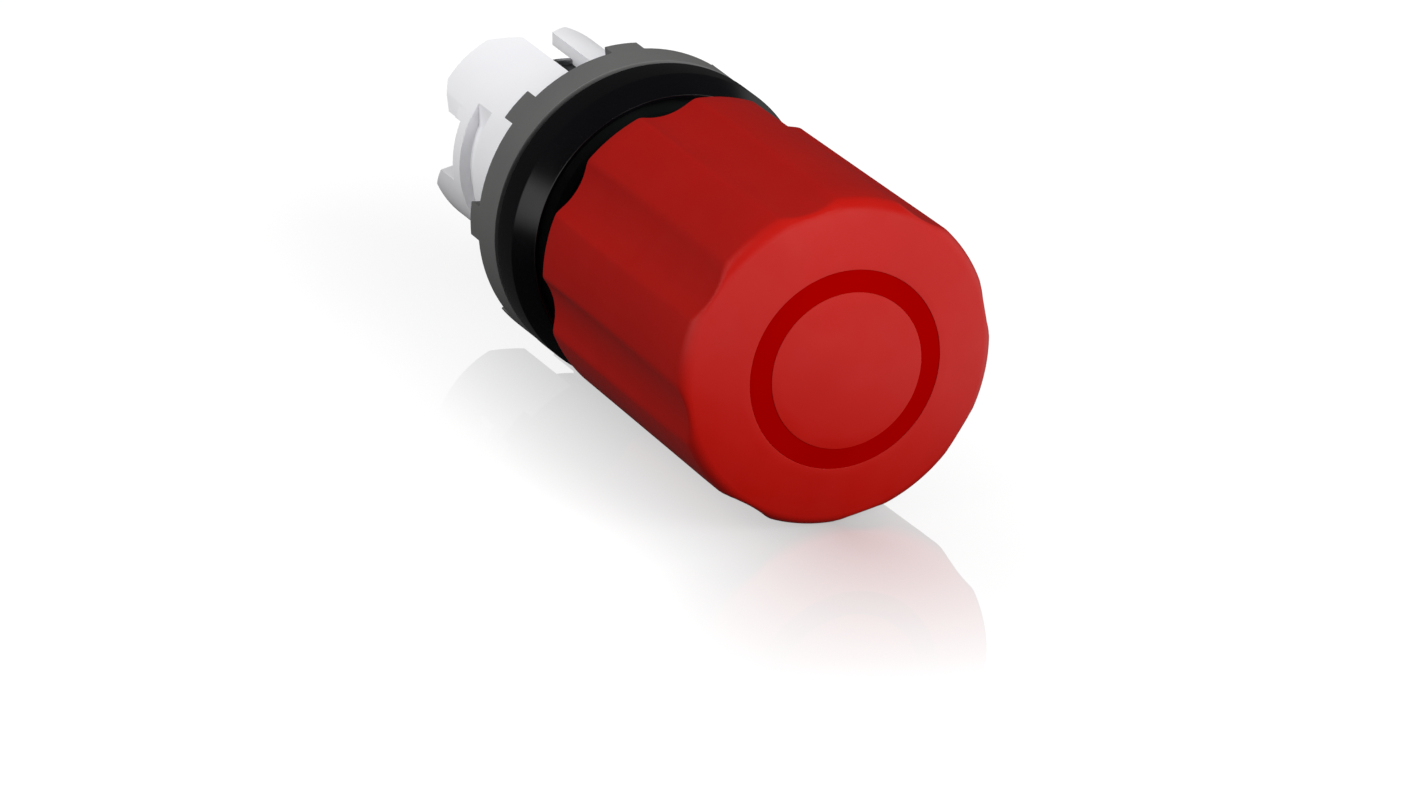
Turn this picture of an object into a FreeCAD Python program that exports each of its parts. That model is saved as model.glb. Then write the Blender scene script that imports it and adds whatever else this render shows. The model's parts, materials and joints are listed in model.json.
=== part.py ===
import FreeCAD, Part
import math
import os
import re

import Sketcher

# An emergency stop button for a 22 mm panel hole. Its axis is the Y axis: the knob faces -Y, the
# contact end points to +Y, and the origin is the centre of the panel hole on the panel's front face.
# The knob is drawn pulled out. Names ending in _y are places along the axis, all in millimetres.
# A cutter reaches past what it cuts by the overrun.

os.makedirs("parts", exist_ok=True)
doc = FreeCAD.newDocument("emergency_stop_button")
Vector = FreeCAD.Vector

DIMENSIONS = {
    # fits and motion
    "travel": 4.5,
    "slide_gap": 0.05,
    "seat_gap": 0.02,
    "loose_gap": 0.2,
    "edge_break": 0.4,
    "overrun": 1.0,
    # knob shell
    "knob_radius": 15.0,
    "knob_taper": 0.43,
    "apex_y": -46.95,
    "dome_radius": 50.0,
    "rim_fillet": 1.45,
    "knob_rear_y": -15.45,
    "cavity_radius": 12.0,
    "cavity_front_y": -44.5,
    "flute_count": 8,
    "flute_angle": 100.0,
    "flute_radius_rear": 5.45,
    "flute_floor_rear": 13.62,
    "flute_radius_front": 12.0,
    "flute_floor_front": 14.55,
    # ring let into the face
    "ring_inner": 7.17,
    "ring_outer": 9.12,
    "ring_floor_y": -45.4,
    "ring_step": 0.05,
    # knob hub
    "hub_radius": 11.9,
    "hub_web": 1.0,
    "hub_thickness": 3.0,
    "boss_radius": 7.5,
    "boss_rear_y": -31.0,
    "rib_count": 6,
    "rib_thickness": 1.4,
    "rib_length": 5.5,
    # plunger stem
    "stem_radius": 4.5,
    "stem_front_y": -42.0,
    "collar_radius": 6.42,
    "collar_y": -11.0,
    "collar_length": 3.0,
    "tail_radius": 5.0,
    "tail_y": 13.0,
    # screws
    "thread_radius": 1.6,
    "knob_screw_length": 9.5,
    "knob_screw_head": 3.5,
    "knob_screw_head_height": 1.4,
    "countersink": 0.9,
    "plate_screw_radius": 1.2,
    "plate_screw_head": 2.8,
    "plate_screw_length": 7.0,
    "cross_width": 0.7,
    "cross_length": 3.0,
    "cross_depth": 0.8,
    # guide sleeve and what it holds
    "sleeve_radius": 8.1,
    "sleeve_front_y": -25.5,
    "sleeve_rear_y": 13.4,
    "flange_radius": 12.65,
    "flange_front_y": -8.9,
    "front_bush_y": -24.0,
    "spring_seat_y": -20.5,
    "spring_bore": 6.5,
    "cam_y": -3.4,
    "cam_bore": 7.0,
    "wiper_pocket": 6.3,
    "wiper_lip": 0.7,
    "keyway_depth": 0.75,
    "key_radius": 0.75,
    "key_y": -9.5,
    # latch
    "pin_y": 1.0,
    "pin_radius": 1.2,
    "pin_floor": 1.2,
    "pin_foot": 2.9,
    "pin_tip": 5.15,
    "cam_slope": 0.2,
    "cam_groove": 0.25,
    "cam_ridge_y": 2.0,
    "cam_wide_y": 6.5,
    "cam_rear_y": 8.9,
    "bush_rear_y": 12.0,
    "clip_y": 12.5,
    "clip_thickness": 0.6,
    "clip_depth": 0.5,
    "clip_opening": 4.0,
    # contact push plate
    "plate_radius": 6.2,
    "plate_rear_y": 14.3,
    # springs
    "trip_spring_radius": 5.45,
    "trip_wire": 0.45,
    "trip_spring_turns": 6,
    "washer_thickness": 0.6,
    "latch_spring_radius": 0.8,
    "latch_wire": 0.14,
    "latch_spring_turns": 3.5,
    # bezel ring
    "bezel_radius": 14.45,
    "bezel_mouth": 12.75,
    "bezel_front_y": -10.81,
    "bevel_inner": 13.16,
    "bevel_rear_y": -8.76,
    "bezel_step_y": -5.84,
    "bezel_rear_y": -5.11,
    "bezel_step": 0.55,
    "bezel_floor_y": -7.6,
    # dust seal and O-ring
    "seal_front_y": -10.1,
    "seal_edge": 0.6,
    "o_ring_orbit": 10.5,
    "o_ring_section": 0.45,
    # panel gasket
    "gasket_radius": 14.4,
    "gasket_bore": 10.7,
    "gasket_rear_y": -1.64,
    "pad_count": 8,
    "pad_inner": 12.2,
    "pad_angle": 133.7,
    "pad_width": 12.5,
    # mounting body
    "neck_radius": 10.6,
    "spigot_radius": 11.0,
    "spigot_length": 3.3,
    "spigot_chamfer": 0.4,
    "body_radius": 9.76,
    "body_bore": 8.15,
    "cup_bore": 8.57,
    "body_rear_y": 19.15,
    "slot_width": 2.9,
    "slot_front_y": 4.5,
    "recess_y": 13.86,
    "recess_angle": 173.5,
    "recess_width": 33.0,
    "groove_front_y": 9.6,
    "groove_rear_y": 12.4,
    "groove_floor": 8.7,
    "groove_flat": 7.8,
    "lug_chamfer": 2.4,
    "ramp_angle": 163.0,
    "ramp_flat": 9.5,
    "ramp_front_y": 15.0,
}

sheet = doc.addObject("Spreadsheet::Sheet", "Dimensions")
for row, (alias, value) in enumerate(DIMENSIONS.items(), 1):
    sheet.set(f"A{row}", alias)
    sheet.set(f"B{row}", str(value))
    sheet.setAlias(f"B{row}", alias)
doc.recompute()

AXIS = Vector(0, 1, 0)
FULL_TURN = 360
SMALLEST_CUT = 0.001
NEAR = 0.01
CUTS = ("PartDesign::Pocket", "PartDesign::Groove", "PartDesign::SubtractiveLoft")
SIDES = {"left": -1, "right": 1}


def size(alias):
    """One driving dimension, read from the sheet."""
    return float(sheet.get(alias))


def bound(formula):
    """A formula of aliases as an expression on the sheet."""

    def on_sheet(word):
        return f"Dimensions.{word[0]}" if word[0] in DIMENSIONS else word[0]

    return re.sub(r"[a-z]\w*", on_sheet, formula)


# Sketches


def sketch_on(body, name, role, lift="0"):
    """A sketch on one of the body's own origin planes, lifted along the plane's normal."""
    plane = next(part for part in body.Origin.OriginFeatures if part.Role == role)
    sketch = body.newObject("Sketcher::SketchObject", name)
    sketch.AttachmentSupport = [(plane, "")]
    sketch.MapMode = "FlatFace"
    sketch.setExpression("AttachmentOffset.Base.z", bound(lift))
    return sketch


def cross_sketch(body, name, place_y):
    """A sketch across the axis at place_y, with X across and Z up. The plane's normal is -Y."""
    return sketch_on(body, name, "XZ_Plane", f"-({place_y})")


def constrain(sketch, formula, *constraint):
    number = sketch.addConstraint(Sketcher.Constraint(*constraint, 1.0))
    sketch.setExpression(f"Constraints[{number}]", bound(formula))


def place(sketch, geometry, point, across, along):
    """Fixes a point of the sketch at two formulas, where "0" means on the sketch's own axis."""
    if across == "0":
        sketch.addConstraint(Sketcher.Constraint("PointOnObject", geometry, point, -2))
    else:
        constrain(sketch, across, "DistanceX", -1, 1, geometry, point)
    if along == "0":
        sketch.addConstraint(Sketcher.Constraint("PointOnObject", geometry, point, -1))
    else:
        constrain(sketch, along, "DistanceY", -1, 1, geometry, point)


def polygon(sketch, corners):
    """A closed outline through corners, each a pair of formulas. It is drawn round and then constrained."""
    first = sketch.GeometryCount
    count = len(corners)
    turns = [2 * math.pi * i / count for i in range(count)]
    drawn = [Vector(math.cos(turn), math.sin(turn), 0) for turn in turns]
    for i in range(count):
        sketch.addGeometry(Part.LineSegment(drawn[i], drawn[(i + 1) % count]), False)
    for i, (across, along) in enumerate(corners):
        sketch.addConstraint(Sketcher.Constraint("Coincident", first + (i - 1) % count, 2, first + i, 1))
        place(sketch, first + i, 1, across, along)


def circle(sketch, across, along, radius):
    number = sketch.addGeometry(Part.Circle(Vector(1, 1, 0), Vector(0, 0, 1), 1), False)
    place(sketch, number, 3, across, along)
    constrain(sketch, radius, "Radius", number)


def rectangle(sketch, low_across, low_along, high_across, high_along):
    low = [(low_across, low_along), (high_across, low_along)]
    high = [(high_across, high_along), (low_across, high_along)]
    polygon(sketch, low + high)


# Features


def new_body(name):
    body = doc.addObject("PartDesign::Body", name)
    body.Label = name
    return body


def turn(body, sketch, axis="V_Axis", kind="Revolution"):
    """Turns a sketch on the XY plane about its own axis, to add (Revolution) or to cut (Groove)."""
    feature = body.newObject(f"PartDesign::{kind}", f"{sketch.Name}_turn")
    feature.Profile = sketch
    feature.ReferenceAxis = (sketch, [axis])
    feature.Angle = FULL_TURN
    return feature


def turned(name, corners):
    """A body turned from one closed outline of (radius, y) corners."""
    body = new_body(name)
    outline = sketch_on(body, f"{name}_outline", "XY_Plane")
    polygon(outline, corners)
    turn(body, outline)
    return body


def ring(name, inner, outer, front, rear):
    return turned(name, [(inner, front), (outer, front), (outer, rear), (inner, rear)])


def coil(name, centre, wire, height, turns, axis, origin_y="0"):
    """A helical wire about an axis of its section's sketch, which is on the XY plane at origin_y."""
    body = new_body(name)
    section = sketch_on(body, f"{name}_section", "XY_Plane")
    section.setExpression("AttachmentOffset.Base.y", bound(origin_y))
    circle(section, *centre, wire)
    helix = body.newObject("PartDesign::AdditiveHelix", f"{name}_helix")
    helix.Profile = section
    helix.ReferenceAxis = (section, [axis])
    helix.Mode = "height-turns-angle"
    helix.setExpression("Height", bound(height))
    helix.setExpression("Turns", bound(turns))
    return body


def pocket(body, sketch, depth, reverse=False):
    """Cuts a sketch away from its plane's normal: a cross sketch is cut towards +Y."""
    cut = body.newObject("PartDesign::Pocket", f"{sketch.Name}_cut")
    cut.Profile = sketch
    cut.Reversed = reverse
    cut.setExpression("Length", bound(depth))
    return cut


def pad(body, sketch, length, reverse=False):
    """Raises a sketch along its plane's normal: a cross sketch is raised towards -Y."""
    raised = body.newObject("PartDesign::Pad", f"{sketch.Name}_pad")
    raised.Profile = sketch
    raised.Reversed = reverse
    raised.setExpression("Length", bound(length))
    return raised


def repeat(body, feature, count):
    """Repeats a feature of a cross sketch round the axis."""
    pattern = body.newObject("PartDesign::PolarPattern", f"{feature.Name}_repeat")
    pattern.Originals = [feature]
    pattern.Axis = (feature.Profile[0], ["N_Axis"])
    pattern.Angle = FULL_TURN
    pattern.setExpression("Occurrences", bound(count))
    body.Tip = pattern
    return pattern


def round_edges(shape, radius, place_y):
    """The names of the shape's circles of that radius at that place along the axis."""
    names = []
    for number, edge in enumerate(shape.Edges, 1):
        if edge.Degenerated or not isinstance(edge.Curve, Part.Circle):
            continue
        if abs(edge.Curve.Radius - radius) < NEAR and abs(edge.Curve.Center.dot(AXIS) - place_y) < NEAR:
            names.append(f"Edge{number}")
    return names


def dress(body, kind, edges, amount):
    """A fillet or chamfer of the body's last feature, at the named edges."""
    base = body.Tip
    feature = body.newObject(f"PartDesign::{kind}", f"{base.Name}_{kind.lower()}")
    feature.Base = (base, edges)
    feature.setExpression("Radius" if kind == "Fillet" else "Size", bound(amount))
    return feature


def wedge(name, radius, length, place_y, centre_angle, width_angle):
    """A slice of a cylinder about the axis, from place_y towards +Y, centred on an angle from +X to +Z."""
    slice_ = doc.addObject("Part::Cylinder", name)
    slice_.setExpression("Radius", bound(radius))
    slice_.setExpression("Height", bound(length))
    slice_.setExpression("Angle", bound(width_angle))
    slice_.Placement.Rotation = FreeCAD.Rotation(Vector(1, 0, 0), -90)
    slice_.setExpression("Placement.Base.y", bound(place_y))
    turn_about_axis(slice_, centre_angle + size(width_angle) / 2)
    return slice_


def turn_about_axis(item, angle):
    """Turns a placed item about the Y axis by an angle measured from +X towards +Z."""
    doc.recompute()
    for axis in "xz":
        item.setExpression(f"Placement.Base.{axis}", None)
    item.Placement = FreeCAD.Placement(Vector(), FreeCAD.Rotation(AXIS, -angle)).multiply(item.Placement)


def boolean(name, kind, base, tool):
    result = doc.addObject(f"Part::{kind}", name)
    result.Base = base
    result.Tool = tool
    return result


def fuse(name, items):
    result = doc.addObject("Part::MultiFuse", name)
    result.Shapes = items
    return result


def block(name, low, high):
    """A box between two corners, each three formulas."""
    box = doc.addObject("Part::Box", name)
    for side, axis, start, end in zip(("Length", "Width", "Height"), "xyz", low, high):
        box.setExpression(side, bound(f"({end}) - ({start})"))
        box.setExpression(f"Placement.Base.{axis}", bound(start))
    return box


def bow(sketch, line, radius, outward):
    """Replaces a line of an outline by an arc of that radius, bulging towards outward."""
    doc.recompute()
    start = sketch.Geometry[line].StartPoint
    end = sketch.Geometry[line].EndPoint
    half_chord = (end - start).Length / 2
    bulge = size(radius) - math.sqrt(size(radius) ** 2 - half_chord**2)
    top = (start + end) / 2 + Vector(*outward, 0).normalize() * bulge
    sketch.toggleConstruction(line)
    arc = sketch.addGeometry(Part.Arc(start, top, end), False)
    for end_of_arc in (1, 2):
        at_start = sketch.getPoint(arc, end_of_arc).distanceToPoint(start) < half_chord
        sketch.addConstraint(Sketcher.Constraint("Coincident", arc, end_of_arc, line, 1 if at_start else 2))
    constrain(sketch, radius, "Radius", arc)


# Knob


def on_dome(radius):
    """The place along the axis of the face's dome at a radius."""
    return f"apex_y + dome_radius - sqrt(dome_radius^2 - ({radius})^2)"


def knob_shell():
    """A hollow cap with a domed face, a rounded rim, a groove for the face ring, and flutes.

    The flutes flatten towards the face. The outline is drawn midway between two of them, so that the
    seam of the turned surfaces meets no flute.
    """
    body = new_body("knob_shell")
    outline = sketch_on(body, "knob_outline", "XY_Plane")
    outline.AttachmentOffset.Rotation.Axis = AXIS
    outline.setExpression("AttachmentOffset.Rotation.Angle", bound("-(flute_angle + 180 / flute_count)"))
    polygon(
        outline,
        [
            ("0", "apex_y"),
            ("knob_radius", on_dome("knob_radius")),
            ("knob_radius - knob_taper", "knob_rear_y"),
            ("cavity_radius", "knob_rear_y"),
            ("cavity_radius", "cavity_front_y"),
            ("0", "cavity_front_y"),
        ],
    )
    bow(outline, 0, "dome_radius", (0, -1))
    turn(body, outline)
    doc.recompute()
    shoulder_y = outline.Geometry[1].StartPoint.y
    dress(body, "Fillet", round_edges(body.Shape, size("knob_radius"), shoulder_y), "rim_fillet")
    ring_groove = sketch_on(body, "ring_groove", "XY_Plane")
    rectangle(ring_groove, "ring_inner", "apex_y - overrun", "ring_outer", "ring_floor_y")
    turn(body, ring_groove, kind="Groove")
    ends = []
    for end, place_y in (("rear", "knob_rear_y"), ("front", "apex_y")):
        cutter = cross_sketch(body, f"flute_{end}", place_y)
        orbit = f"(flute_floor_{end} + flute_radius_{end})"
        circle(cutter, f"{orbit} * cos(flute_angle)", f"{orbit} * sin(flute_angle)", f"flute_radius_{end}")
        ends.append(cutter)
    flute = body.newObject("PartDesign::SubtractiveLoft", "flute")
    flute.Profile = ends[0]
    flute.Sections = ends[1:]
    flute.Ruled = True
    repeat(body, flute, "flute_count")
    return body


def face_ring():
    inner = "ring_inner + seat_gap"
    outer = "ring_outer - seat_gap"
    return turned(
        "face_ring",
        [
            (inner, "ring_floor_y"),
            (outer, "ring_floor_y"),
            (outer, f"{on_dome(outer)} + ring_step"),
            (inner, f"{on_dome(inner)} + ring_step"),
        ],
    )


def knob_hub():
    """The disc inside the shell, with a ribbed boss that takes the stem and a seat for the screw's head."""
    disc_rear = "cavity_front_y + hub_thickness"
    body = turned(
        "knob_hub",
        [
            ("knob_screw_head + loose_gap", "cavity_front_y"),
            ("hub_radius", "cavity_front_y"),
            ("hub_radius", disc_rear),
            ("boss_radius", disc_rear),
            ("boss_radius", "boss_rear_y"),
            ("stem_radius + seat_gap", "boss_rear_y"),
            ("stem_radius + seat_gap", "stem_front_y"),
            ("thread_radius + 2 * slide_gap", "stem_front_y"),
            ("thread_radius + 2 * slide_gap", "stem_front_y - hub_web"),
            ("knob_screw_head + loose_gap", "stem_front_y - hub_web"),
        ],
    )
    rib = cross_sketch(body, "hub_rib", disc_rear)
    half = "rib_thickness / 2"
    rectangle(rib, "boss_radius - overrun", f"-{half}", "hub_radius - slide_gap", half)
    repeat(body, pad(body, rib, "rib_length", reverse=True), "rib_count")
    return body


def cross_recess(body, name, place_y, towards_rear):
    """A cross cut into a screw's head."""
    end = "cross_length / 2"
    side = "cross_width / 2"
    cross = cross_sketch(body, name, place_y)
    quarter = [(end, side), (side, side), (side, end)]
    corners = []
    for across_sign, along_sign, step in (("", "", 1), ("-", "", -1), ("-", "-", 1), ("", "-", -1)):
        corners += [(f"{across_sign}({a})", f"{along_sign}({b})") for a, b in quarter[::step]]
    polygon(cross, corners)
    pocket(body, cross, "cross_depth", reverse=not towards_rear)


def knob_screw():
    head_rear = "stem_front_y - hub_web"
    head_front = f"{head_rear} - knob_screw_head_height"
    body = turned(
        "knob_screw",
        [
            ("0", head_front),
            ("knob_screw_head - edge_break", head_front),
            ("knob_screw_head", f"{head_front} + edge_break"),
            ("knob_screw_head", head_rear),
            ("thread_radius", head_rear),
            ("thread_radius", f"{head_rear} + knob_screw_length"),
            ("0", f"{head_rear} + knob_screw_length"),
        ],
    )
    cross_recess(body, "knob_screw_cross", head_front, towards_rear=True)
    return body


# Plunger


def plunger_stem():
    """The stem: a slim front half, a collar, and a tail that holds the latch pins and the push plate."""
    clip_front = "bush_rear_y + slide_gap"
    thread = "thread_radius + slide_gap"
    plate_thread = "plate_screw_radius + slide_gap"
    body = turned(
        "plunger_stem",
        [
            (thread, "stem_front_y"),
            ("stem_radius", "stem_front_y"),
            ("stem_radius", "collar_y"),
            ("collar_radius", "collar_y"),
            ("collar_radius", "collar_y + collar_length"),
            ("tail_radius", "collar_y + collar_length"),
            ("tail_radius", clip_front),
            ("tail_radius - 2 * clip_depth", clip_front),
            ("tail_radius - 2 * clip_depth", f"{clip_front} + clip_thickness"),
            ("tail_radius", f"{clip_front} + clip_thickness"),
            ("tail_radius", "tail_y"),
            (plate_thread, "tail_y"),
            (plate_thread, "tail_y - plate_screw_length"),
            ("0", "tail_y - plate_screw_length"),
            ("0", "stem_front_y + knob_screw_length"),
            (thread, "stem_front_y + knob_screw_length"),
        ],
    )
    for side, sign in SIDES.items():
        hole = sketch_on(body, f"pin_hole_{side}", "YZ_Plane", f"{sign} * pin_floor")
        circle(hole, "pin_y", "0", "pin_radius + slide_gap")
        pocket(body, hole, "tail_radius", reverse=sign > 0)
    key_hole = sketch_on(body, "key_hole", "XY_Plane", "tail_radius")
    circle(key_hole, "0", "key_y", "key_radius + seat_gap")
    pocket(body, key_hole, "collar_radius", reverse=True)
    return body


def guide_key():
    """A dowel across the collar, which runs in the sleeve's keyway."""
    body = new_body("guide_key")
    end = sketch_on(body, "guide_key_end", "XY_Plane", "tail_radius")
    circle(end, "0", "key_y", "key_radius")
    pad(body, end, "spring_bore + keyway_depth - tail_radius - 3 * slide_gap")
    return body


def spring_washer():
    front = "collar_y - washer_thickness"
    return ring("spring_washer", "stem_radius + slide_gap", "collar_radius - slide_gap", front, "collar_y")


def trip_spring():
    """The coil between the sleeve's front seat and the washer on the collar."""
    front = "spring_seat_y + trip_wire"
    height = "collar_y - washer_thickness - spring_seat_y - 2 * trip_wire"
    centre = ("trip_spring_radius", front)
    return coil("trip_spring", centre, "trip_wire", height, "trip_spring_turns", "V_Axis")


def contact_push_plate():
    """The disc on the stem's tail that works a contact block, with a countersunk hole."""
    hole = "plate_screw_radius + loose_gap"
    return turned(
        "contact_push_plate",
        [
            (hole, "tail_y"),
            ("plate_radius - edge_break", "tail_y"),
            ("plate_radius", "tail_y + edge_break"),
            ("plate_radius", "plate_rear_y - edge_break"),
            ("plate_radius - edge_break", "plate_rear_y"),
            ("plate_screw_head + slide_gap", "plate_rear_y"),
            (hole, "plate_rear_y - countersink"),
        ],
    )


def push_plate_screw():
    head = "plate_rear_y - slide_gap"
    tip = "tail_y - plate_screw_length + loose_gap"
    body = turned(
        "push_plate_screw",
        [
            ("0", head),
            ("plate_screw_head - 2 * slide_gap", head),
            ("plate_screw_radius", f"{head} - countersink"),
            ("plate_screw_radius", tip),
            ("0", tip),
        ],
    )
    cross_recess(body, "push_plate_cross", head, towards_rear=False)
    return body


def clip(name, inner, outer, front):
    """A C-shaped ring, open at the bottom."""
    body = ring(name, inner, outer, front, f"{front} + clip_thickness - slide_gap")
    opening = cross_sketch(body, f"{name}_opening", front)
    rectangle(opening, "-clip_opening / 2", "-spigot_radius", "clip_opening / 2", "0")
    pocket(body, opening, "clip_thickness")
    return body


def stop_ring():
    inner = "tail_radius - 2 * clip_depth + seat_gap"
    return clip("stop_ring", inner, "plate_radius", "bush_rear_y + 1.5 * slide_gap")


# Latch


def latch_cam():
    """A ring whose bore has a holding groove, a ridge, and a cone that widens towards the rear."""
    entry = "tail_radius + 1.5 * slide_gap"
    ridge = "pin_tip + 1.5 * slide_gap + cam_slope * (cam_ridge_y - pin_y)"
    wide = "pin_tip + 1.5 * slide_gap + cam_slope * (cam_wide_y - pin_y)"
    groove = f"{ridge} + cam_groove"
    return turned(
        "latch_cam",
        [
            (entry, "cam_y"),
            ("cam_bore - seat_gap", "cam_y"),
            ("cam_bore - seat_gap", "cam_rear_y"),
            (wide, "cam_rear_y"),
            (wide, "cam_wide_y"),
            (ridge, "cam_ridge_y"),
            (groove, "cam_ridge_y - edge_break"),
            (groove, "pin_y - pin_radius + edge_break"),
            (entry, "pin_y - pin_radius - loose_gap"),
        ],
    )


def latch_pin(side):
    """A pin with a rounded tip, which slides out of the stem's tail along X."""
    sign = SIDES[side]
    body = new_body(f"latch_pin_{side}")
    outline = sketch_on(body, f"latch_pin_outline_{side}", "XY_Plane")
    outline.setExpression("AttachmentOffset.Base.y", bound("pin_y"))
    polygon(
        outline,
        [
            (f"{sign} * pin_foot", "0"),
            (f"{sign} * pin_foot", "pin_radius"),
            (f"{sign} * (pin_tip - pin_radius)", "pin_radius"),
            (f"{sign} * pin_tip", "0"),
        ],
    )
    bow(outline, 2, "pin_radius", (sign, 1))
    turn(body, outline, axis="H_Axis")
    return body


def latch_spring(side):
    """The coil between the floor of the pin's hole and the pin's foot."""
    sign = SIDES[side]
    start = f"{sign} * (pin_floor + latch_wire)"
    height = "pin_foot - pin_floor - 2 * latch_wire"
    centre = (start, "latch_spring_radius")
    name = f"latch_spring_{side}"
    spring = coil(name, centre, "latch_wire", height, "latch_spring_turns", "H_Axis", "pin_y")
    spring.Tip.Reversed = sign < 0
    return spring


def rear_bush():
    return ring("rear_bush", "tail_radius + slide_gap", "cam_bore - seat_gap", "cam_rear_y", "bush_rear_y")


# Housing


def guide_sleeve():
    """The long tube that guides the stem and holds the spring, the latch cam and the rear bush."""
    ring_inner_side = "o_ring_orbit - o_ring_section - slide_gap"
    ring_outer_side = "o_ring_orbit + o_ring_section + slide_gap"
    ring_floor = "bezel_floor_y - 2 * o_ring_section - slide_gap"
    clip_floor = "sleeve_radius - clip_depth"
    body = turned(
        "guide_sleeve",
        [
            ("wiper_pocket", "sleeve_front_y"),
            ("sleeve_radius", "sleeve_front_y"),
            ("sleeve_radius", "flange_front_y"),
            ("flange_radius", "flange_front_y"),
            ("flange_radius", "bezel_floor_y"),
            (ring_outer_side, "bezel_floor_y"),
            (ring_outer_side, ring_floor),
            (ring_inner_side, ring_floor),
            (ring_inner_side, "bezel_floor_y"),
            ("sleeve_radius", "bezel_floor_y"),
            ("sleeve_radius", "clip_y"),
            (clip_floor, "clip_y"),
            (clip_floor, "clip_y + clip_thickness"),
            ("sleeve_radius", "clip_y + clip_thickness"),
            ("sleeve_radius", "sleeve_rear_y"),
            ("cam_bore", "sleeve_rear_y"),
            ("cam_bore", "cam_y"),
            ("spring_bore", "cam_y"),
            ("spring_bore", "spring_seat_y"),
            ("stem_radius + slide_gap", "spring_seat_y"),
            ("stem_radius + slide_gap", "front_bush_y"),
            ("wiper_pocket", "front_bush_y"),
        ],
    )
    keyway = sketch_on(body, "keyway", "XY_Plane")
    side = "key_radius + slide_gap"
    end = f"{side} + loose_gap"
    rectangle(keyway, f"-({side})", f"key_y - ({end})", side, f"key_y + travel + {end}")
    pocket(body, keyway, "spring_bore + keyway_depth", reverse=True)
    return body


def stem_wiper():
    """A rubber lip at the front of the sleeve."""
    lip = "stem_radius + slide_gap"
    return turned(
        "stem_wiper",
        [
            (lip, "sleeve_front_y + loose_gap"),
            ("stem_radius + edge_break", "sleeve_front_y - wiper_lip"),
            ("wiper_pocket - 2 * edge_break", "sleeve_front_y"),
            ("wiper_pocket - seat_gap", "sleeve_front_y"),
            ("wiper_pocket - seat_gap", "front_bush_y"),
            ("stem_radius + edge_break", "front_bush_y"),
        ],
    )


def sleeve_o_ring():
    body = new_body("sleeve_o_ring")
    section = sketch_on(body, "o_ring_outline", "XY_Plane")
    circle(section, "o_ring_orbit", "bezel_floor_y - o_ring_section", "o_ring_section")
    turn(body, section)
    return body


def sleeve_clip():
    inner = "sleeve_radius - clip_depth + seat_gap"
    return clip("sleeve_clip", inner, "cup_bore - seat_gap", "clip_y + seat_gap")


def dust_seal():
    """The rubber ring in the bezel's mouth, with a chamfered outer and inner edge."""
    return turned(
        "dust_seal",
        [
            ("sleeve_radius + seat_gap", "flange_front_y"),
            ("flange_radius", "flange_front_y"),
            ("flange_radius", "seal_front_y + seal_edge"),
            ("flange_radius - 2 * seal_edge", "seal_front_y"),
            ("sleeve_radius + seal_edge", "seal_front_y"),
            ("sleeve_radius + seat_gap", "seal_front_y + seal_edge"),
        ],
    )


def bezel_ring():
    """The collar, with a bevelled front edge, a step behind it and a floor for the sleeve's flange."""
    return turned(
        "bezel_ring",
        [
            ("bezel_mouth", "bezel_front_y"),
            ("bevel_inner", "bezel_front_y"),
            ("bezel_radius", "bevel_rear_y"),
            ("bezel_radius", "bezel_step_y"),
            ("bezel_radius - bezel_step", "bezel_step_y"),
            ("bezel_radius - bezel_step", "bezel_rear_y"),
            ("body_bore", "bezel_rear_y"),
            ("body_bore", "bezel_floor_y"),
            ("bezel_mouth", "bezel_floor_y"),
        ],
    )


def panel_gasket():
    """A flat ring with crush pads on its rear face, which are arcs kept from a second, narrower ring."""
    blank = ring("gasket_blank", "gasket_bore", "gasket_radius", "bezel_rear_y", "gasket_rear_y")
    pad_ring = ring("pad_ring", "pad_inner", "gasket_radius", "bezel_rear_y", "0")
    reach = "gasket_radius + overrun"
    arcs = []
    for i in range(int(size("pad_count"))):
        centre_angle = size("pad_angle") + i * FULL_TURN / size("pad_count")
        arc = wedge(f"pad_arc_{i}", reach, "-bezel_rear_y", "bezel_rear_y", centre_angle, "pad_width")
        arcs.append(arc)
    pads = boolean("pads", "Common", pad_ring, fuse("pad_arcs", arcs))
    return fuse("panel_gasket", [blank, pads])


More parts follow.
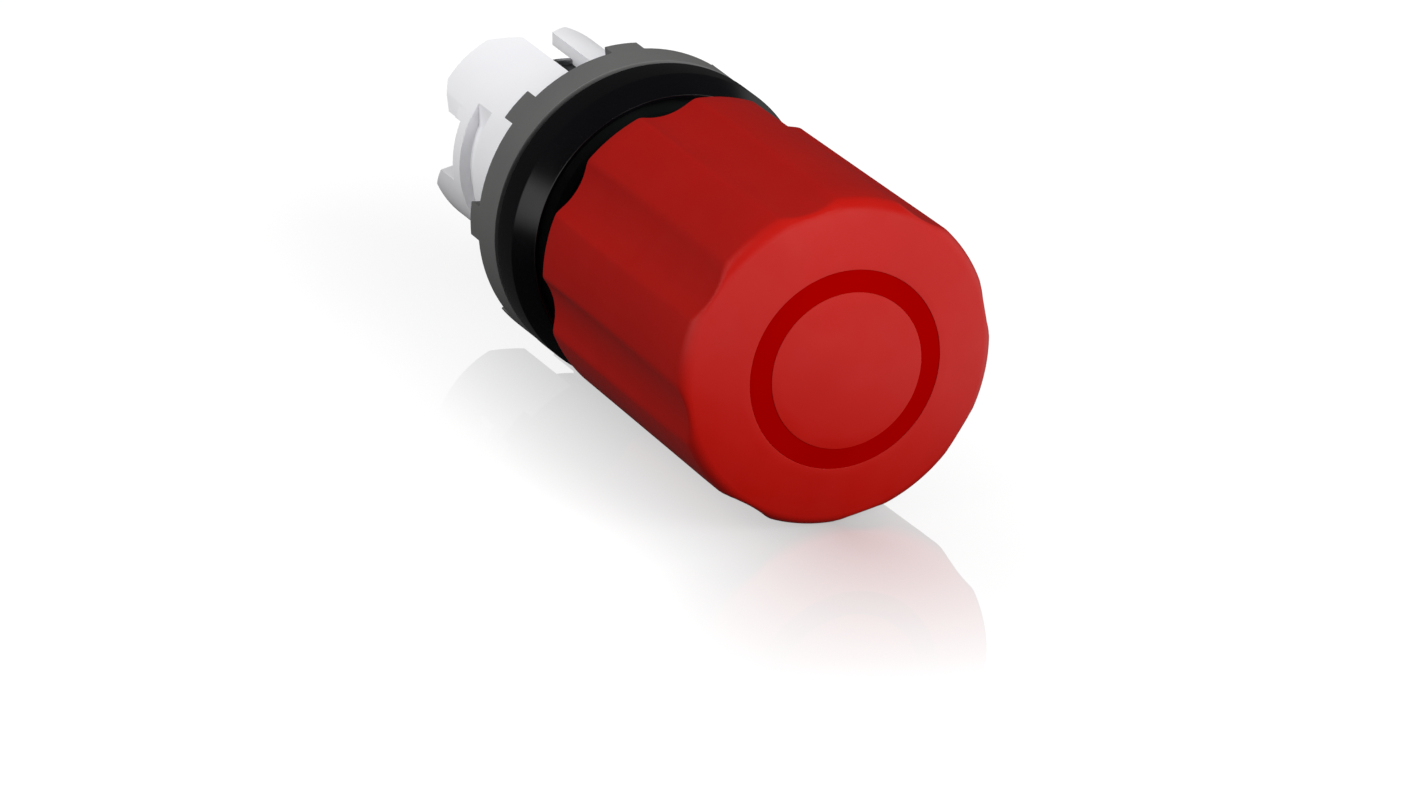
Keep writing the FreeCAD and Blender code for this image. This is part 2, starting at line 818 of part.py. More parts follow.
def mounting_body():
    """The tube behind the panel: a spigot, two slots, two recesses that leave four lugs, side grooves."""
    blank = turned(
        "mounting_blank",
        [
            ("body_bore", "bezel_rear_y"),
            ("neck_radius", "bezel_rear_y"),
            ("neck_radius", "0"),
            ("spigot_radius", "0"),
            ("spigot_radius", "spigot_length - spigot_chamfer"),
            ("spigot_radius - spigot_chamfer", "spigot_length"),
            ("body_radius", "spigot_length"),
            ("body_radius", "body_rear_y"),
            ("cup_bore", "body_rear_y"),
            ("cup_bore", "clip_y"),
            ("body_bore", "clip_y"),
        ],
    )
    past = "spigot_radius + overrun"
    past_rear = "body_rear_y + overrun"
    slots = block(
        "slots",
        ("-slot_width / 2", "slot_front_y", f"-({past})"),
        ("slot_width / 2", past_rear, past),
    )
    tools = [slots]
    core = doc.addObject("Part::Cylinder", "groove_core")
    core.setExpression("Radius", bound("groove_floor"))
    core.setExpression("Height", bound("2 * body_rear_y"))
    core.Placement.Rotation = FreeCAD.Rotation(Vector(1, 0, 0), -90)
    for side, sign in SIDES.items():
        outer = block(
            f"groove_{side}",
            ("groove_flat" if sign > 0 else f"-({past})", "groove_front_y", f"-({past})"),
            (past if sign > 0 else "-groove_flat", "groove_rear_y", past),
        )
        tools.append(boolean(f"side_groove_{side}", "Cut", outer, core))
        half_turn = 0 if sign < 0 else FULL_TURN / 2
        recess = wedge(f"recess_{side}", past, "body_rear_y", "recess_y", 0, "recess_width")
        turn_about_axis(recess, size("recess_angle") + half_turn)
        tools.append(recess)
        low = ("ramp_flat", "ramp_front_y", "-body_radius")
        ramp = block(f"ramp_{side}", low, (past, past_rear, "body_radius"))
        turn_about_axis(ramp, size("ramp_angle") + half_turn)
        tools.append(ramp)
    cut = boolean("mounting_cut", "Cut", blank, fuse("mounting_tools", tools))
    doc.recompute()
    chamfered = doc.addObject("Part::Chamfer", "mounting_body")
    chamfered.Base = cut
    amount = size("lug_chamfer")
    chamfered.Edges = [(number, amount, amount) for number in lug_edges(cut.Shape)]
    return chamfered


def lug_edges(shape):
    """The numbers of the straight edges that run out from the bore across the lugs' rear ends."""
    rear = size("body_rear_y")
    bore = size("cup_bore")
    numbers = []
    for number, edge in enumerate(shape.Edges, 1):
        if edge.Degenerated or not isinstance(edge.Curve, Part.Line):
            continue
        at_rear = all(abs(vertex.Y - rear) < NEAR for vertex in edge.Vertexes)
        at_bore = any(abs(math.hypot(vertex.X, vertex.Z) - bore) < NEAR for vertex in edge.Vertexes)
        if at_rear and at_bore:
            numbers.append(number)
    return numbers


# The whole button, checked and written


def check(pieces):
    """Stops at a failed object, a cut that removed nothing, or a piece that isn't one closed solid."""
    for item in doc.Objects:
        if {"Invalid", "Error"} & set(item.State):
            raise RuntimeError(f"{item.Name} failed: {item.State}")
        if item.TypeId in CUTS:
            if item.Shape.Volume > item.BaseFeature.Shape.Volume - SMALLEST_CUT:
                raise RuntimeError(f"{item.Name} cuts nothing")
    for piece in pieces:
        shape = piece.Shape
        if shape.isNull() or not shape.isValid() or len(shape.Solids) != 1:
            raise RuntimeError(f"{piece.Label} isn't one valid solid")


def main():
    pieces = [
        knob_shell(),
        face_ring(),
        knob_hub(),
        knob_screw(),
        plunger_stem(),
        guide_key(),
        spring_washer(),
        trip_spring(),
        stop_ring(),
        contact_push_plate(),
        push_plate_screw(),
        latch_cam(),
        rear_bush(),
        guide_sleeve(),
        stem_wiper(),
        sleeve_o_ring(),
        sleeve_clip(),
        dust_seal(),
        bezel_ring(),
        panel_gasket(),
        mounting_body(),
    ]
    for side in SIDES:
        pieces += [latch_pin(side), latch_spring(side)]
    doc.recompute()
    check(pieces)
    for piece in pieces:
        piece.Shape.exportStep(f"parts/{piece.Label}.step")
        print(f"{piece.Label}: {piece.Shape.Volume:.1f} mm3")


main()
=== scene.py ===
import json
import math

import bmesh
import bpy
from mathutils import Matrix, Vector


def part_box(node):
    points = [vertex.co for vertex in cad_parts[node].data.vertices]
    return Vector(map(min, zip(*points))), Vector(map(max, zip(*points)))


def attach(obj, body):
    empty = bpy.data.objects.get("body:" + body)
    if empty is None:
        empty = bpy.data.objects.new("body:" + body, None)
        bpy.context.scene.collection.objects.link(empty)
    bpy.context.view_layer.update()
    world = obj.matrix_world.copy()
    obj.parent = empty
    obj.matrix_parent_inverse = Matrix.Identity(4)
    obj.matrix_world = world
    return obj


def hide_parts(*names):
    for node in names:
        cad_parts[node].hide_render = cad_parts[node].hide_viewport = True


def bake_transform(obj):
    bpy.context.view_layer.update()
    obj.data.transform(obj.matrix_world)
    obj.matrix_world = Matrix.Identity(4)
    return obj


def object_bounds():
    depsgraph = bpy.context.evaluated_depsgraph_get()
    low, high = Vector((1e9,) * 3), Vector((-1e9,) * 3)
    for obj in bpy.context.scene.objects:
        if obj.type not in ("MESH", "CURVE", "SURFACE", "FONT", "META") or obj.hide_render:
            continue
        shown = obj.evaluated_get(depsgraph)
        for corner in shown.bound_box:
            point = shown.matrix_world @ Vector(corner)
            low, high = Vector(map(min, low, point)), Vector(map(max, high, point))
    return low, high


# An emergency stop button on a white floor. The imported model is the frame: the knob's shell, the bezel,
# the dust seal and the springs are rebuilt here in finer meshes, and every other CAD piece stays and gets
# a material. The button's axis is the Y axis. The sizes of the pieces are in millimetres, and those of the
# stage are in metres.

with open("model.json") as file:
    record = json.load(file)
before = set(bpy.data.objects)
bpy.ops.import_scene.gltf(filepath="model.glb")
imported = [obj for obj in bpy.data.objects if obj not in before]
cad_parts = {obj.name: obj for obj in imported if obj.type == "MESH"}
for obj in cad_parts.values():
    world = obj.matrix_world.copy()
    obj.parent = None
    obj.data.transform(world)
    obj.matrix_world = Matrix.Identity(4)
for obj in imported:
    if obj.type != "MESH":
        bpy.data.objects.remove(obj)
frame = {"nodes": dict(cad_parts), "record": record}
cad_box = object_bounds()

MM = 0.001
FULL_TURN = 2 * math.pi
SHARP_EDGE = math.radians(35)
AXIS = Vector((0, 1, 0))
nodes = frame["nodes"]
bodies = frame["record"]["behaviour"]["bodies"]
node_body = {name: body for body, names in bodies.items() for name in names}
node_slot = {part["node"]: part["material_slot"] for part in frame["record"]["subparts"]}


# Shader nodes


def add(tree, kind, inputs=(), **settings):
    """Adds a node with its settings. Each input takes a value, or a link where it is given a socket."""
    node = tree.nodes.new(f"ShaderNode{kind}")
    for name, value in settings.items():
        setattr(node, name, value)
    for name, value in dict(inputs).items():
        if isinstance(value, bpy.types.NodeSocket):
            tree.links.new(value, node.inputs[name])
        else:
            node.inputs[name].default_value = value
    return node


def noise_of(tree, place, scale, detail=4.0, finer=None):
    """Noise of about scale bumps to a unit of length. finer multiplies that along each axis."""
    if finer:
        place = add(tree, "VectorMath", {0: place, 1: finer}, operation="MULTIPLY").outputs[0]
    return add(tree, "TexNoise", {"Vector": place, "Scale": scale, "Detail": detail}).outputs["Fac"]


def between(tree, factor, low, high, start=0.3, end=0.7):
    """A factor mapped from start..end to low..high, and held there."""
    inputs = {"Value": factor, "From Min": start, "From Max": end, "To Min": low, "To Max": high}
    return add(tree, "MapRange", inputs).outputs["Result"]


def mix_colours(tree, factor, first, second):
    """A colour between first and second, each a colour or the output of a node."""
    inputs = {"Factor": factor}
    for socket, colour in ((6, first), (7, second)):
        inputs[socket] = colour if isinstance(colour, bpy.types.NodeSocket) else (*colour, 1)
    return add(tree, "Mix", inputs, data_type="RGBA").outputs[2]


def combined(tree, first, second, operation="MULTIPLY"):
    """Two factors multiplied, or put together by another operation."""
    return add(tree, "Math", {0: first, 1: second}, operation=operation).outputs[0]


def edge_mask(tree, width):
    """1 on edges and 0 on flat faces, from how far a normal rounded over a width turns from the real one."""
    soft = add(tree, "Bevel", {"Radius": width * MM}, samples=4).outputs["Normal"]
    real = add(tree, "NewGeometry").outputs["Normal"]
    turn = add(tree, "VectorMath", {0: soft, 1: real}, operation="DOT_PRODUCT").outputs["Value"]
    return between(tree, turn, 1, 0, start=0.8, end=0.99)


# Materials. Lengths and the places that the noise reads are in millimetres.

materials = {}


def new_material(name):
    """A new material's node tree, its shader and a place in the piece's own frame, in millimetres."""
    material = bpy.data.materials.new(name)
    material.use_nodes = True
    materials[name] = material
    tree = material.node_tree
    place = add(tree, "TexCoord").outputs["Object"]
    scaled = add(tree, "VectorMath", {0: place, "Scale": 1 / MM}, operation="SCALE").outputs[0]
    return tree, tree.nodes["Principled BSDF"], scaled


def roughen(tree, shader, patches, roughness, spread):
    """Lets the roughness wander up and down by a share of itself, as the patches say."""
    wandering = between(tree, patches, roughness * (1 - spread), roughness * (1 + spread))
    tree.links.new(wandering, shader.inputs["Roughness"])


def bumps(tree, shader, height, depth):
    """Turns the shader's normal as bumps of that depth would."""
    bump = add(tree, "Bump", {"Height": height, "Distance": depth * MM, "Strength": 1.0})
    tree.links.new(bump.outputs["Normal"], shader.inputs["Normal"])


def moulded(name, colour, shade, worn, roughness, depth=0.004, sheen=0.5, wear=0.35):
    """Moulded plastic or rubber: soft clouds of colour, a fine grain, and edges rubbed a little lighter."""
    tree, shader, place = new_material(name)
    clouds = between(tree, noise_of(tree, place, scale=0.12, detail=2), 0, 1)
    base = mix_colours(tree, clouds, colour, shade)
    rubbing = between(tree, noise_of(tree, place, scale=0.9), 0.2, 1)
    rubbed = combined(tree, edge_mask(tree, width=0.12), rubbing)
    share = between(tree, rubbed, 0, wear, start=0, end=1)
    tree.links.new(mix_colours(tree, share, base, worn), shader.inputs["Base Color"])
    roughen(tree, shader, noise_of(tree, place, scale=0.35, detail=3), roughness, spread=0.12)
    bumps(tree, shader, noise_of(tree, place, scale=6.0, detail=3), depth)
    shader.inputs["Specular IOR Level"].default_value = sheen


def metal(name, colour, roughness, finer):
    """Drawn or turned metal: fine streaks, dull patches and brighter edges."""
    tree, shader, place = new_material(name)
    streaks = noise_of(tree, place, scale=9.0, detail=5, finer=finer)
    dull = tuple(0.78 * part for part in colour)
    bright = tuple(min(1.0, 1.25 * part) for part in colour)
    base = mix_colours(tree, between(tree, streaks, 0, 1), dull, colour)
    tree.links.new(mix_colours(tree, edge_mask(tree, width=0.06), base, bright), shader.inputs["Base Color"])
    roughen(tree, shader, noise_of(tree, place, scale=0.8, detail=3), roughness, spread=0.3)
    bumps(tree, shader, streaks, depth=0.003)
    shader.inputs["Metallic"].default_value = 1.0


# The knob's satin red, and the flat deep red of its face ring

moulded(
    "red_plastic",
    colour=(0.365, 0.0040, 0.0014),
    shade=(0.345, 0.0034, 0.0012),
    worn=(0.40, 0.008, 0.004),
    roughness=0.37,
    depth=0.001,
)
moulded(
    "dark_red_plastic",
    colour=(0.265, 0.0, 0.0),
    shade=(0.25, 0.0, 0.0),
    worn=(0.28, 0.0, 0.0),
    roughness=0.6,
    sheen=0.0,
)

# The black plastics of the sleeve and the hub, of the glossy bezel and of the stem

moulded(
    "black_plastic",
    colour=(0.010, 0.010, 0.011),
    shade=(0.007, 0.007, 0.008),
    worn=(0.03, 0.03, 0.03),
    roughness=0.5,
)
moulded(
    "bezel_plastic",
    colour=(0.0022, 0.0022, 0.003),
    shade=(0.0016, 0.0016, 0.0022),
    worn=(0.01, 0.01, 0.011),
    roughness=0.22,
    depth=0.001,
    sheen=0.8,
)
moulded(
    "acetal_black",
    colour=(0.012, 0.012, 0.012),
    shade=(0.008, 0.008, 0.009),
    worn=(0.04, 0.04, 0.04),
    roughness=0.35,
)

# The undyed plastic of the cam, the bush and the push plate, and the white one of the mounting body

moulded(
    "natural_plastic",
    colour=(0.70, 0.66, 0.56),
    shade=(0.64, 0.60, 0.50),
    worn=(0.78, 0.75, 0.68),
    roughness=0.45,
)
moulded(
    "white_plastic",
    colour=(0.91, 0.91, 0.93),
    shade=(0.88, 0.88, 0.91),
    worn=(0.94, 0.94, 0.95),
    roughness=0.4,
)

# The gasket's grey rubber, and the black one of the seal, the wiper and the O-ring

moulded(
    "grey_rubber",
    colour=(0.125, 0.125, 0.122),
    shade=(0.110, 0.110, 0.110),
    worn=(0.16, 0.16, 0.16),
    roughness=0.75,
    depth=0.010,
    sheen=0.25,
    wear=0.15,
)
moulded(
    "black_rubber",
    colour=(0.006, 0.008, 0.007),
    shade=(0.004, 0.005, 0.005),
    worn=(0.02, 0.02, 0.02),
    roughness=0.7,
    depth=0.010,
    sheen=0.25,
)

# Steels: one with fine rings about Z, one with fine rings about Y, and one with an even grain

metal("plain_steel", colour=(0.50, 0.50, 0.51), roughness=0.28, finer=(1, 1, 12))
metal("plated_steel", colour=(0.62, 0.62, 0.64), roughness=0.22, finer=(1, 10, 1))
metal("spring_steel", colour=(0.36, 0.36, 0.37), roughness=0.32, finer=(1, 1, 1))


# Meshes


def new_piece(name, form, node, ends=None):
    """Puts a built form into the scene in place of a CAD node, with that node's material.

    It rides on the node's body, or, where ends are given, stays where it is built. The bodies and places
    named in ends are not used.
    """
    bmesh.ops.recalc_face_normals(form, faces=form.faces)
    mesh = bpy.data.meshes.new(name)
    form.to_mesh(mesh)
    form.free()
    piece = bpy.data.objects.new(name, mesh)
    bpy.context.scene.collection.objects.link(piece)
    mesh.materials.append(materials[node_slot[node]])
    mesh.shade_smooth()
    mesh.set_sharp_from_angle(angle=SHARP_EDGE)
    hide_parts(node)
    if ends:
        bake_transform(piece)
    else:
        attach(piece, node_body[node])


def arc(before, corner, after, radius, steps=6):
    """The points that round a corner between its two neighbours, each point a (radius, y) vector."""
    if not radius:
        return [corner]
    into = (before - corner).normalized()
    out = (after - corner).normalized()
    half = into.angle(out) / 2
    middle = corner + (into + out).normalized() * radius / math.sin(half)
    first = corner + into * radius / math.tan(half) - middle
    sweep = math.pi - 2 * half
    if first.cross(corner - middle) < 0:
        sweep = -sweep
    turns = [Matrix.Rotation(sweep * i / steps, 2) for i in range(steps + 1)]
    return [middle + turn @ first for turn in turns]


def rounded(outline):
    """A closed outline of (radius, y, corner radius), with its corners rounded, as (radius, y) vectors."""
    corners = [Vector(point[:2]) for point in outline]
    points = []
    for i, (corner, point) in enumerate(zip(corners, outline)):
        points += arc(corners[i - 1], corner, corners[(i + 1) % len(corners)], point[2])
    return points


def join_rings(form, this, following):
    """Faces between two rings of points. A ring on the axis is one point repeated, so it gets triangles."""
    for i in range(len(this)):
        j = (i + 1) % len(this)
        corners = dict.fromkeys((this[i], this[j], following[j], following[i]))
        if len(corners) > 2:
            form.faces.new(corners)


def lathe(outline, segments=192, shape=lambda radius, y, angle: radius):
    """Turns an outline about the axis. shape may change the radius at each place and angle."""
    form = bmesh.new()
    rings = []
    for radius, y in rounded(outline):
        if radius == 0:
            rings.append([form.verts.new(AXIS * y * MM)] * segments)
            continue
        ring = []
        for i in range(segments):
            angle = FULL_TURN * i / segments
            reach = shape(radius, y, angle)
            ring.append(form.verts.new(Vector((reach * math.cos(angle), y, reach * math.sin(angle))) * MM))
        rings.append(ring)
    for this, following in zip(rings, rings[1:] + rings[:1]):
        join_rings(form, this, following)
    return form


# Knob

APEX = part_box("knob_shell")[0].y / MM
KNOB_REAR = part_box("knob_shell")[1].y / MM
KNOB_RADIUS = 15.0
KNOB_SEGMENTS = 576
DOME_RADIUS = 50.0
RIM_FILLET = 1.45

SIDE_FRONT = -43
SIDE_TAPER = 0.43
SIDE_STEPS = 12
REAR_FILLET = 0.2
REAR_CHAMFER = 0.3

FLUTE_COUNT = 8
FLUTE_PITCH = FULL_TURN / FLUTE_COUNT
FLUTE_ANGLE = math.radians(100)
FLUTE_RADII = (5.45, 12.0)
FLUTE_FLOORS = (13.62, 14.55)
FLUTE_SOFTNESS = 0.25

GROOVE_RADIUS = 7.17
GROOVE_GAP = 0.02
GROOVE_FILLET = 0.02
RADII_INSIDE_GROOVE = (1.5, 3.0, 4.5, 6.0)
RADII_OUTSIDE_GROOVE = (10.0, 11.0, 12.01)

CAVITY_RADIUS = 12.0
CAVITY_FRONT = -44.5
CAVITY_FILLET = 0.5


def dome(radius):
    """The place along the axis of the domed face at a radius."""
    return APEX + DOME_RADIUS - math.sqrt(DOME_RADIUS**2 - radius**2)


def on_dome(radii, fillet=0):
    """Points of an outline on the domed face, from the inside out."""
    return [(radius, dome(radius), fillet) for radius in radii]


def smaller(first, second, softness):
    """The smaller of two values, blended smoothly where they are within softness of each other."""
    share = min(1.0, max(0.0, 0.5 + (second - first) / (2 * softness)))
    return second + (first - second) * share - softness * share * (1 - share)


def fluted(radius, y, angle):
    """The radius that a flute leaves of the shell. The flutes flatten from the rear to the front."""
    off = (angle - FLUTE_ANGLE + FLUTE_PITCH / 2) % FLUTE_PITCH - FLUTE_PITCH / 2
    along = (KNOB_REAR - y) / (KNOB_REAR - APEX)
    cutter = FLUTE_RADII[0] + (FLUTE_RADII[1] - FLUTE_RADII[0]) * along
    orbit = cutter + FLUTE_FLOORS[0] + (FLUTE_FLOORS[1] - FLUTE_FLOORS[0]) * along
    aside = orbit * math.sin(off)
    if radius <= CAVITY_RADIUS or abs(aside) >= cutter:
        return radius
    cut = orbit * math.cos(off) - math.sqrt(cutter**2 - aside**2)
    return smaller(radius, cut, FLUTE_SOFTNESS)


def knob_side():
    """Points down the knob's tapered side, close enough together for the flutes to bend it evenly."""
    length = KNOB_REAR - SIDE_FRONT
    steps = range(1, SIDE_STEPS)
    radii = [KNOB_RADIUS - SIDE_TAPER * i / SIDE_STEPS for i in steps]
    places = [SIDE_FRONT + length * i / SIDE_STEPS for i in steps]
    return [(radius, y, 0) for radius, y in zip(radii, places)]


def knob():
    """The fluted shell: its face with the ring's groove, its rim, its side, its rear and its cavity."""
    ring_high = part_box("face_ring")[1]
    outer = ring_high.x / MM + GROOVE_GAP
    floor_y = ring_high.y / MM
    outline = [(0, APEX, 0)]
    outline += on_dome(RADII_INSIDE_GROOVE)
    outline += on_dome([GROOVE_RADIUS], GROOVE_FILLET)
    outline += [(GROOVE_RADIUS, floor_y, 0), (outer, floor_y, 0)]
    outline += on_dome([outer], GROOVE_FILLET)
    outline += on_dome(RADII_OUTSIDE_GROOVE)
    outline += on_dome([KNOB_RADIUS], RIM_FILLET)
    outline += knob_side()
    outline += [
        (KNOB_RADIUS - SIDE_TAPER, KNOB_REAR, REAR_FILLET),
        (CAVITY_RADIUS + REAR_CHAMFER, KNOB_REAR, 0),
        (CAVITY_RADIUS, KNOB_REAR - REAR_CHAMFER, 0),
        (CAVITY_RADIUS, CAVITY_FRONT, CAVITY_FILLET),
        (0, CAVITY_FRONT, 0),
    ]
    new_piece("knob_moulding", lathe(outline, KNOB_SEGMENTS, fluted), "knob_shell")


knob()


# Bezel and dust seal

SLEEVE_RADIUS = 8.12

BEZEL_RADIUS = 14.45
BEZEL_MOUTH = 12.75
BEZEL_BORE = SLEEVE_RADIUS + 0.03
BEZEL_FLOOR = 2.49
BEVEL_WIDTH = 1.29
BEVEL_LENGTH = 2.05
STEP_DEPTH = 0.55
STEP_LENGTH = 0.73

SEAL_RADIUS = 12.65
SEAL_BEVEL = 0.6
SEAL_OUTER_BEVEL = 1.2
SEAL_GROOVE_MOUTH = (9.8, 10.6)
SEAL_GROOVE_FLOOR = (10.0, 10.4)
SEAL_GROOVE_DEPTH = 0.2


def bezel():
    """The collar, with softened edges on its bevel and on the step next to the gasket."""
    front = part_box("bezel_ring")[0].y / MM
    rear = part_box("bezel_ring")[1].y / MM
    step = rear - STEP_LENGTH
    floor_y = rear - BEZEL_FLOOR
    outline = [
        (BEZEL_MOUTH, front, 0.12),
        (BEZEL_RADIUS - BEVEL_WIDTH, front, 0.15),
        (BEZEL_RADIUS, front + BEVEL_LENGTH, 0.3),
        (BEZEL_RADIUS, step, 0.12),
        (BEZEL_RADIUS - STEP_DEPTH, step, 0),
        (BEZEL_RADIUS - STEP_DEPTH, rear, 0),
        (BEZEL_BORE, rear, 0),
        (BEZEL_BORE, floor_y, 0),
        (BEZEL_MOUTH, floor_y, 0),
    ]
    new_piece("bezel_collar", lathe(outline), "bezel_ring")


def seal():
    """The rubber ring in the bezel's mouth, with a shallow moulded groove round its front."""
    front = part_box("dust_seal")[0].y / MM
    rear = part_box("dust_seal")[1].y / MM
    edge = front + SEAL_BEVEL
    outline = [
        (SLEEVE_RADIUS, rear, 0),
        (SEAL_RADIUS, rear, 0),
        (SEAL_RADIUS, edge, 0.15),
        (SEAL_RADIUS - SEAL_OUTER_BEVEL, front, 0.2),
        (SEAL_GROOVE_MOUTH[1], front, 0.1),
        (SEAL_GROOVE_FLOOR[1], front + SEAL_GROOVE_DEPTH, 0.05),
        (SEAL_GROOVE_FLOOR[0], front + SEAL_GROOVE_DEPTH, 0.05),
        (SEAL_GROOVE_MOUTH[0], front, 0.1),
        (SLEEVE_RADIUS + SEAL_BEVEL, front, 0.15),
        (SLEEVE_RADIUS, edge, 0.1),
    ]
    new_piece("seal_lip", lathe(outline), "dust_seal")


bezel()
seal()


# Springs. A wire's size is its radius, and closed turns lie CLOSED_PITCH wire radii apart.

STEPS_PER_TURN = 48
WIRE_SIDES = 12
CLOSED_PITCH = 2.1

TRIP_RADIUS = 5.45
TRIP_WIRE = 0.45
LATCH_RADIUS = 0.8
LATCH_WIRE = 0.14


def coil(start, end, radius, wire, turns, closed):
    """Round wire coiled about the line from start to end, with that many closed turns at each end."""
    axis = (end - start).normalized()
    side = axis.orthogonal().normalized()
    up = axis.cross(side)
    closed_pitch = CLOSED_PITCH * wire
    open_pitch = ((end - start).length - 2 * closed * closed_pitch) / (turns - 2 * closed)
    wire_angles = [FULL_TURN * j / WIRE_SIDES for j in range(WIRE_SIDES)]
    form = bmesh.new()
    rings = []
    for i in range(int(turns * STEPS_PER_TURN) + 1):
        turned = i / STEPS_PER_TURN
        ends = min(turned, closed) + max(0.0, turned - (turns - closed))
        height = ends * closed_pitch + (turned - ends) * open_pitch
        out = side * math.cos(FULL_TURN * turned) + up * math.sin(FULL_TURN * turned)
        centre = start + axis * height + out * radius
        ring = [centre + (out * math.cos(angle) + axis * math.sin(angle)) * wire for angle in wire_angles]
        rings.append([form.verts.new(point * MM) for point in ring])
    for this, following in zip(rings, rings[1:]):
        join_rings(form, this, following)
    form.faces.new(rings[0])
    form.faces.new(rings[-1])
    return form


def trip_spring():
    """The coil round the stem. The real one lengthens as the knob goes in; this one is built at one length
    and stays where it is built.
    """
    low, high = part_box("trip_spring")
    start = Vector((0, low.y / MM + TRIP_WIRE, 0))
    end = Vector((0, high.y / MM - TRIP_WIRE, 0))
    form = coil(start, end, TRIP_RADIUS, TRIP_WIRE, turns=6, closed=0.8)
    new_piece("trip_coil", form, "trip_spring", ("housing", "plunger", AXIS * low.y, AXIS * high.y))


def latch_spring(side, sign):
    """The small coil behind a latch pin, across the stem."""
    node = f"latch_spring_{side}"
    low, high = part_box(node)
    middle = (low.y + high.y) / 2 / MM
    inner, outer = sorted((low.x, high.x), key=abs)
    start = Vector((inner / MM + sign * LATCH_WIRE, middle, 0))
    end = Vector((outer / MM - sign * LATCH_WIRE, middle, 0))
    form = coil(start, end, LATCH_RADIUS, LATCH_WIRE, turns=3.5, closed=0.6)
    ends = ("plunger", f"latch_pin_{side}", (inner, 0, 0), (outer, 0, 0))
    new_piece(f"latch_coil_{side}", form, node, ends)


trip_spring()
latch_spring("left", -1)
latch_spring("right", 1)


# CAD pieces that stay


def soften(node, width):
    """Rounds a CAD piece's sharp edges by modifiers, and smooths the rest."""
    weld = node.modifiers.new("weld", "WELD")
    weld.merge_threshold = 0.001 * MM
    flat = node.modifiers.new("flat", "DECIMATE")
    flat.decimate_type = "DISSOLVE"
    flat.angle_limit = math.radians(0.3)
    bevel = node.modifiers.new("bevel", "BEVEL")
    bevel.width = width * MM
    bevel.segments = 3
    bevel.limit_method = "ANGLE"
    bevel.angle_limit = SHARP_EDGE
    node.data.shade_smooth()
    even = node.modifiers.new("even", "WEIGHTED_NORMAL")
    even.weight = 50


for name, node in nodes.items():
    node.data.materials.clear()
    node.data.materials.append(materials[node_slot[name]])
soften(nodes["mounting_body"], width=0.15)
soften(nodes["panel_gasket"], width=0.06)


# Floor: a faint matt tone under a glow that grows to full white at FAR, and a mirror that ends at
# MIRROR_REACH. Both go by the distance from the foot, the line on the floor under the button's axis.
# SIDE_SPREAD stretches that distance sideways, and eases to HEAD_SPREAD over HEAD_LENGTH before the foot.

FLOOR_HALF = 3
FLOOR_TONE = 0.14
FLOOR_GLOW = 0.89
FAR = 0.5
FOOT = (cad_box[0][1], cad_box[1][1])
MIRROR_SHARE = 0.5
MIRROR_REACH = 0.0375
SIDE_SPREAD = 1.83
HEAD_SPREAD = 1.1
HEAD_LENGTH = 0.025


def distance_from_foot(tree, place):
    """How far a place on the floor is from the foot, stretched sideways as the spreads say."""
    parts = add(tree, "SeparateXYZ", {0: place})
    aside = parts.outputs["X"]
    along = parts.outputs["Y"]
    spread = between(tree, along, HEAD_SPREAD, SIDE_SPREAD, FOOT[0] - HEAD_LENGTH, FOOT[0])
    spot = add(tree, "CombineXYZ", {"X": combined(tree, aside, spread), "Y": along})
    nearest = add(tree, "CombineXYZ", {"Y": between(tree, along, *FOOT, *FOOT)})
    ends = {0: spot.outputs[0], 1: nearest.outputs[0]}
    return add(tree, "VectorMath", ends, operation="DISTANCE").outputs["Value"]


def floor_material():
    """White that mirrors the button more faintly the further from its foot."""
    material = bpy.data.materials.new("floor_sheet")
    material.use_nodes = True
    tree = material.node_tree
    tree.nodes.clear()
    place = add(tree, "TexCoord").outputs["Object"]
    distance = distance_from_foot(tree, place)
    clouds = noise_of(tree, place, scale=6.0, detail=2)
    matt = add(tree, "BsdfDiffuse", {"Color": between(tree, clouds, FLOOR_TONE, FLOOR_TONE * 1.02)})
    glow = add(tree, "Emission", {"Strength": between(tree, distance, FLOOR_GLOW, 1, MIRROR_REACH, FAR)})
    white = add(tree, "AddShader", {0: matt.outputs[0], 1: glow.outputs[0]})
    mirror = add(tree, "BsdfGlossy", {"Roughness": 0})
    share = between(tree, distance, MIRROR_SHARE, 0, 0, MIRROR_REACH)
    sheet = add(tree, "MixShader", {0: share, 1: white.outputs[0], 2: mirror.outputs[0]})
    add(tree, "OutputMaterial", {"Surface": sheet.outputs[0]})
    return material


def floor():
    """A sheet level with the button's lowest point. The button's rays pass through it to the studio."""
    low = cad_box[0][2]
    signs = ((-1, -1), (1, -1), (1, 1), (-1, 1))
    corners = [(x * FLOOR_HALF, y * FLOOR_HALF, low) for x, y in signs]
    mesh = bpy.data.meshes.new("floor")
    mesh.from_pydata(corners, [], [(0, 1, 2, 3)])
    mesh.materials.append(floor_material())
    sheet = bpy.data.objects.new("floor", mesh)
    bpy.context.scene.collection.objects.link(sheet)
    sheet.visible_diffuse = False
    sheet.visible_glossy = False
    sheet.visible_shadow = False


# Studio. The pairs are the start and the end of a change of light, as parts of a direction of length 1.

FRONT_LIGHT = 0.8
BACK_LIGHT = 0.035
HIGH_LIGHT = 0.03
FRONT_TO_BACK = (-0.1, 0.7)
WINDOW_TILT = 0.3
WINDOW_FOOT = (-0.42, -0.26)
WINDOW_HEAD = (0.3, 0.42)

LOW_LIGHT = 0.13
DOME_LIGHT = 0.34
HORIZON = (-0.3, 0.1)

LAMP_TARGET = (0, -0.02, 0)
LAMP_SIZE = 0.5


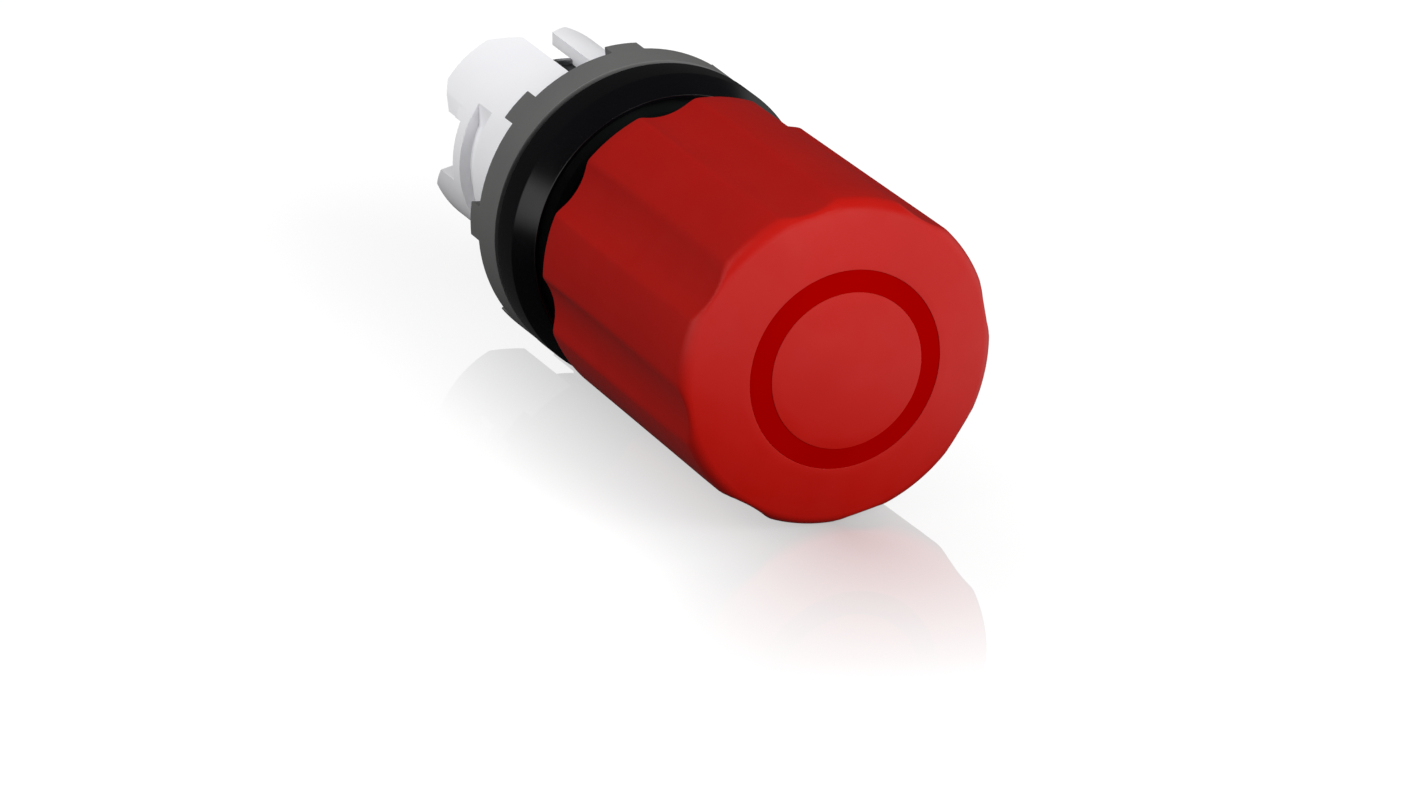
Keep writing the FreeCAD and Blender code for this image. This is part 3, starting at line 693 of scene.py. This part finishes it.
def window(tree, parts):
    """What glossy rays see: a bright band in front with a tilted lower edge, and a faint light behind."""
    front = between(tree, parts.outputs["Y"], FRONT_LIGHT, 0, *FRONT_TO_BACK)
    back = between(tree, parts.outputs["Y"], 0, BACK_LIGHT, *FRONT_TO_BACK)
    tilt = {0: parts.outputs["X"], 1: WINDOW_TILT, 2: parts.outputs["Z"]}
    tilted = add(tree, "Math", tilt, operation="MULTIPLY_ADD").outputs[0]
    above_foot = between(tree, tilted, 0, 1, *WINDOW_FOOT)
    below_head = between(tree, parts.outputs["Z"], 1, HIGH_LIGHT, *WINDOW_HEAD)
    band = combined(tree, combined(tree, front, above_foot), below_head)
    return combined(tree, band, back, "ADD")


def studio():
    """Soft light from all round, dimmer from below. The camera and the floor's mirror see plain white."""
    world = bpy.data.worlds.new("studio")
    world.use_nodes = True
    tree = world.node_tree
    direction = add(tree, "TexCoord").outputs["Generated"]
    parts = add(tree, "SeparateXYZ", {0: direction})
    soft = between(tree, parts.outputs["Z"], LOW_LIGHT, DOME_LIGHT, *HORIZON)
    ray = add(tree, "LightPath").outputs
    lighting = add(tree, "Mix", {"Factor": ray["Is Diffuse Ray"], "A": window(tree, parts), "B": soft})
    plain = combined(tree, ray["Is Camera Ray"], ray["Is Singular Ray"], "MAXIMUM")
    strength = add(tree, "Mix", {"Factor": plain, "A": lighting.outputs["Result"], "B": 1.0})
    background = tree.nodes["Background"]
    background.inputs["Color"].default_value = (1, 1, 1, 1)
    tree.links.new(strength.outputs["Result"], background.inputs["Strength"])
    world.cycles.sampling_method = "NONE"
    bpy.context.scene.world = world
    bpy.context.scene.view_settings.view_transform = "Standard"


def lamp(name, place, power):
    """A square soft light aimed at the button, which doesn't show in glossy reflections."""
    light = bpy.data.lights.new(name, "AREA")
    light.shape = "RECTANGLE"
    light.size = LAMP_SIZE
    light.size_y = LAMP_SIZE
    light.energy = power
    holder = bpy.data.objects.new(name, light)
    holder.location = place
    holder.rotation_euler = (Vector(LAMP_TARGET) - Vector(place)).to_track_quat("-Z", "Y").to_euler()
    bpy.context.scene.collection.objects.link(holder)
    holder.visible_glossy = False


def camera(azimuth, elevation, distance, aim, lens):
    """A camera that looks at aim from azimuth and elevation, in degrees. Azimuth 0 looks along +Y."""
    turn = math.radians(azimuth)
    rise = math.radians(elevation)
    away = Vector((math.sin(turn) * math.cos(rise), -math.cos(turn) * math.cos(rise), math.sin(rise)))
    data = bpy.data.cameras.new("camera")
    data.lens = lens
    data.clip_end = 50
    view = bpy.data.objects.new("camera", data)
    view.location = Vector(aim) + distance * away
    view.rotation_euler = (-away).to_track_quat("-Z", "Y").to_euler()
    bpy.context.scene.collection.objects.link(view)
    bpy.context.scene.camera = view


floor()
studio()
lamp("key", place=(0.22, -0.65, 0.34), power=7.6)
lamp("side", place=(-0.6, 0.06, 0.41), power=3.3)
camera(
    azimuth=-25.53,
    elevation=21.87,
    distance=1.294,
    aim=(-0.01094, -0.04197, -0.00234),
    lens=380.3,
)
